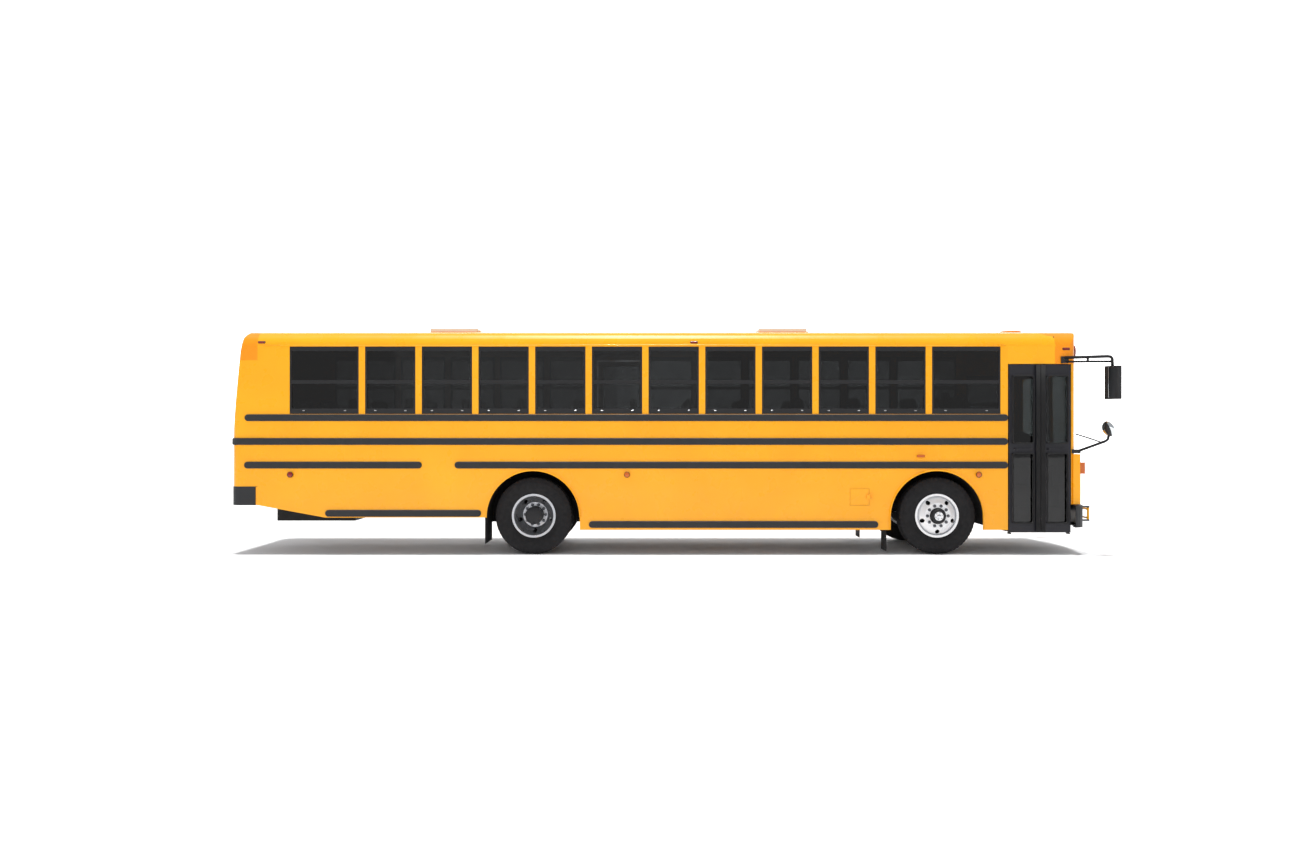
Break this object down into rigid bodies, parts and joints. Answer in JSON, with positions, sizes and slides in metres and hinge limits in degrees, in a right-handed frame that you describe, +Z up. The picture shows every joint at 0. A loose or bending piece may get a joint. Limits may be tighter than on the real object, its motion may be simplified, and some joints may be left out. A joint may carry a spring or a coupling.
{
  "type": "school bus",
  "caption": "Flat-fronted rear-engined school bus with opening doors, hatches, stop and crossing arms, steered front wheels and rows of bench seats.",
  "frame": {"origin": "on the road under the middle of the overall length and width", "axes": "+X to the front of the bus, +Y to its left side, +Z up"},
  "size_m": [12.1206, 3.1314, 3.18],
  "materials": {
    "body_yellow": "gloss",
    "cap_yellow": "gloss",
    "clear_glass": "gloss",
    "frame_black": "satin",
    "rail_black": "satin",
    "chassis_black": "satin",
    "floor_rubber": "ribbed",
    "liner_black": "matt",
    "tank_black": "satin",
    "seat_tube": "satin",
    "seat_vinyl": "grained vinyl",
    "driver_fabric": "woven",
    "dash_plastic": "grained",
    "lamp_clear": "clear lens",
    "lamp_amber": "lens",
    "lamp_red": "lens",
    "door_navy": "satin",
    "hatch_white": "satin",
    "stop_red": "gloss",
    "arm_yellow": "gloss",
    "tyre": "matt",
    "wheel_bright": "polished",
    "wheel_grey": "painted silver"
  },
  "bodies": {
    "root": {"left_side_wall": "body_yellow", "right_side_wall": "body_yellow", "left_skirt": "body_yellow", "right_skirt": "body_yellow", "roof": "body_yellow", "roof_caps": "cap_yellow", "rear_wall": "body_yellow", "front_panel": "body_yellow", "front_fascia": "body_yellow", "windscreen": "clear_glass", "window_frames": "frame_black", "window_glass": "clear_glass", "rub_rails": "rail_black", "front_bumper": "rail_black", "rear_bumper": "rail_black", "frame_rails": "chassis_black", "floor_sills": "chassis_black", "floor_plate": "floor_rubber", "step_well": "floor_rubber", "wheel_housings": "liner_black", "engine": "chassis_black", "fuel_tank": "tank_black", "battery_box": "tank_black", "front_axle": "chassis_black", "rear_axle": "chassis_black", "mud_flaps": "liner_black", "seat_frames": "seat_tube", "seat_cushions": "seat_vinyl", "driver_seat": "driver_fabric", "dashboard": "dash_plastic", "mirrors": "frame_black", "road_lamps": "lamp_clear", "turn_lamps": "lamp_amber", "warning_lamps": "lamp_red", "arm_bases": "frame_black"},
    "emergency_door": {"emergency_door": "body_yellow", "emergency_door_glass": "clear_glass"},
    "front_door_leaf": {"front_door_leaf": "door_navy", "front_door_glass": "clear_glass"},
    "rear_door_leaf": {"rear_door_leaf": "door_navy", "rear_door_glass": "clear_glass"},
    "front_roof_hatch": {"front_roof_hatch": "hatch_white"},
    "rear_roof_hatch": {"rear_roof_hatch": "hatch_white"},
    "engine_door": {"engine_door": "body_yellow"},
    "fuel_door": {"fuel_door": "body_yellow"},
    "stop_arm": {"stop_arm": "stop_red"},
    "crossing_arm": {"crossing_arm": "arm_yellow"},
    "steering_wheel": {"steering_wheel": "dash_plastic"},
    "left_knuckle": {"left_knuckle": "chassis_black"},
    "right_knuckle": {"right_knuckle": "chassis_black"},
    "tie_rod": {"tie_rod": "chassis_black"},
    "front_left_wheel": {"front_left_tyre": "tyre", "front_left_rim": "wheel_bright"},
    "front_right_wheel": {"front_right_tyre": "tyre", "front_right_rim": "wheel_bright"},
    "rear_left_wheel": {"rear_left_tyres": "tyre", "rear_left_rims": "wheel_grey"},
    "rear_right_wheel": {"rear_right_tyres": "tyre", "rear_right_rims": "wheel_grey"}
  },
  "joints": [
    {"name": "front_leaf_hinge", "type": "hinge", "parent": "root", "child": "front_door_leaf", "pos_m": [5.446, -1.205, 1.4], "axis": [0, 0, 1], "range_deg": [0, 88]},
    {"name": "rear_leaf_hinge", "type": "hinge", "parent": "root", "child": "rear_door_leaf", "pos_m": [4.638, -1.205, 1.4], "axis": [0, 0, -1], "range_deg": [0, 88]},
    {"name": "emergency_door_hinge", "type": "hinge", "parent": "root", "child": "emergency_door", "pos_m": [-0.384, 1.238, 2], "axis": [0, 0, -1], "range_deg": [0, 95]},
    {"name": "front_hatch_hinge", "type": "hinge", "parent": "root", "child": "front_roof_hatch", "pos_m": [1.981, 0, 3.136], "axis": [0, 1, 0], "range_deg": [0, 70]},
    {"name": "rear_hatch_hinge", "type": "hinge", "parent": "root", "child": "rear_roof_hatch", "pos_m": [-2.779, 0, 3.136], "axis": [0, 1, 0], "range_deg": [0, 70]},
    {"name": "engine_door_hinge", "type": "hinge", "parent": "root", "child": "engine_door", "pos_m": [-6.065, 0, 1.503], "axis": [0, 1, 0], "range_deg": [0, 75]},
    {"name": "fuel_door_hinge", "type": "hinge", "parent": "root", "child": "fuel_door", "pos_m": [2.706, -1.238, 0.7965], "axis": [0, 0, 1], "range_deg": [0, 105]},
    {"name": "stop_arm_hinge", "type": "hinge", "parent": "root", "child": "stop_arm", "pos_m": [4.5, 1.264, 1.551], "axis": [0, 0, -1], "range_deg": [0, 90]},
    {"name": "crossing_arm_hinge", "type": "hinge", "parent": "root", "child": "crossing_arm", "pos_m": [5.767, -1.05, 0.556], "axis": [0, 0, -1], "range_deg": [0, 90]},
    {"name": "left_steer", "type": "hinge", "parent": "root", "child": "left_knuckle", "pos_m": [3.652, 0.86, 0.53], "axis": [0, 0, 1], "range_deg": [-45, 45]},
    {"name": "right_steer", "type": "hinge", "parent": "root", "child": "right_knuckle", "pos_m": [3.652, -0.86, 0.53], "axis": [0, 0, 1], "range_deg": [-45, 45]},
    {"name": "tie_rod_pivot", "type": "hinge", "parent": "left_knuckle", "child": "tie_rod", "pos_m": [3.452, 0.86, 0.47], "axis": [0, 0, 1], "range_deg": [-45, 45]},
    {"name": "steering_wheel_turn", "type": "hinge", "parent": "root", "child": "steering_wheel", "pos_m": [4.96, 0.64, 1.87], "axis": [-0.5299, 0, 0.848], "range_deg": [-720, 720]},
    {"name": "front_left_spin", "type": "hinge", "parent": "left_knuckle", "child": "front_left_wheel", "pos_m": [3.652, 1.03, 0.53], "axis": [0, 1, 0], "continuous": true},
    {"name": "front_right_spin", "type": "hinge", "parent": "right_knuckle", "child": "front_right_wheel", "pos_m": [3.652, -1.03, 0.53], "axis": [0, 1, 0], "continuous": true},
    {"name": "rear_left_spin", "type": "hinge", "parent": "root", "child": "rear_left_wheel", "pos_m": [-1.908, 1.03, 0.53], "axis": [0, 1, 0], "continuous": true},
    {"name": "rear_right_spin", "type": "hinge", "parent": "root", "child": "rear_right_wheel", "pos_m": [-1.908, -1.03, 0.53], "axis": [0, 1, 0], "continuous": true}
  ],
  "couplings": [
    {"joint": "rear_leaf_hinge", "follows": "front_leaf_hinge", "ratio": 1},
    {"joint": "right_steer", "follows": "left_steer", "ratio": 1},
    {"joint": "tie_rod_pivot", "follows": "left_steer", "ratio": -1},
    {"joint": "steering_wheel_turn", "follows": "left_steer", "ratio": 16}
  ]
}
